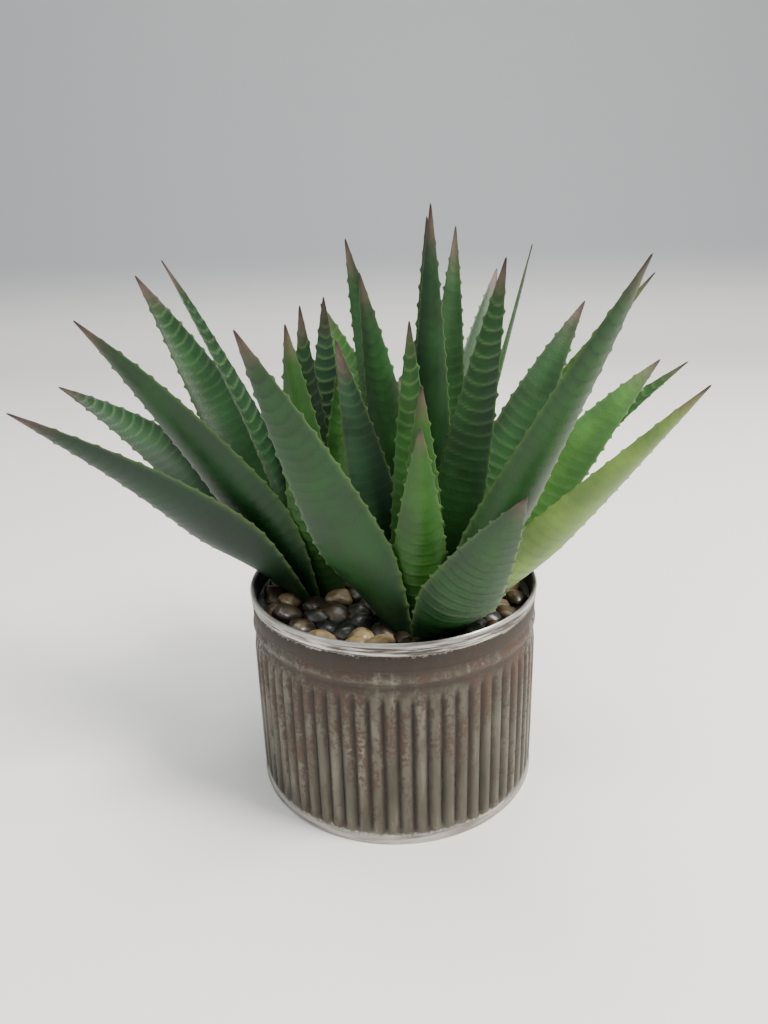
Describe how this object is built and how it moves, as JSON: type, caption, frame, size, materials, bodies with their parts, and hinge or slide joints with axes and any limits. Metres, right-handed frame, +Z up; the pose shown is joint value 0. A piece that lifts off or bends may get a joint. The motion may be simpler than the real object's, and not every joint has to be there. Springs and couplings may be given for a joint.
{
  "type": "potted aloe plant",
  "caption": "Artificial aloe plant with moulded, toothed succulent leaves in upright rosettes, standing in pebbles in a round ribbed tin pot with a worn, rusted finish.",
  "frame": {"origin": "centre of the flat round base of the pot, on the surface it stands on", "axes": "+Z up along the pot's axis, +X to the viewer's right, -Y towards the viewer"},
  "size_m": [0.3488, 0.2913, 0.2932],
  "materials": {
    "leaf_plastic": "satin moulded leaf plastic, mid green",
    "crown_plastic": "satin moulded plastic, dark green",
    "rusted_tin": "ribbed tin with patchy brown rust paint over grey zinc",
    "galvanised_tin": "dull galvanised sheet",
    "floral_foam": "rigid matt foam",
    "river_pebbles": "varnished river pebbles in browns and greys"
  },
  "bodies": {
    "root": {"back_crown": "crown_plastic", "back_leaf_01": "leaf_plastic", "back_leaf_02": "leaf_plastic", "back_leaf_03": "leaf_plastic", "back_leaf_04": "leaf_plastic", "back_leaf_05": "leaf_plastic", "back_leaf_06": "leaf_plastic", "back_leaf_07": "leaf_plastic", "back_leaf_08": "leaf_plastic", "back_leaf_09": "leaf_plastic", "back_leaf_10": "leaf_plastic", "back_leaf_11": "leaf_plastic", "back_leaf_12": "leaf_plastic", "floral_foam": "floral_foam", "front_crown": "crown_plastic", "front_leaf_01": "leaf_plastic", "front_leaf_02": "leaf_plastic", "front_leaf_03": "leaf_plastic", "front_leaf_04": "leaf_plastic", "front_leaf_05": "leaf_plastic", "front_leaf_06": "leaf_plastic", "front_leaf_07": "leaf_plastic", "front_leaf_08": "leaf_plastic", "front_leaf_09": "leaf_plastic", "front_leaf_10": "leaf_plastic", "front_leaf_11": "leaf_plastic", "left_crown": "crown_plastic", "left_leaf_01": "leaf_plastic", "left_leaf_02": "leaf_plastic", "left_leaf_03": "leaf_plastic", "left_leaf_04": "leaf_plastic", "left_leaf_05": "leaf_plastic", "left_leaf_06": "leaf_plastic", "left_leaf_07": "leaf_plastic", "left_leaf_08": "leaf_plastic", "left_leaf_09": "leaf_plastic", "left_leaf_10": "leaf_plastic", "pebble_bed": "river_pebbles", "pot_base": "galvanised_tin", "pot_wall": "rusted_tin"}
  },
  "joints": []
}
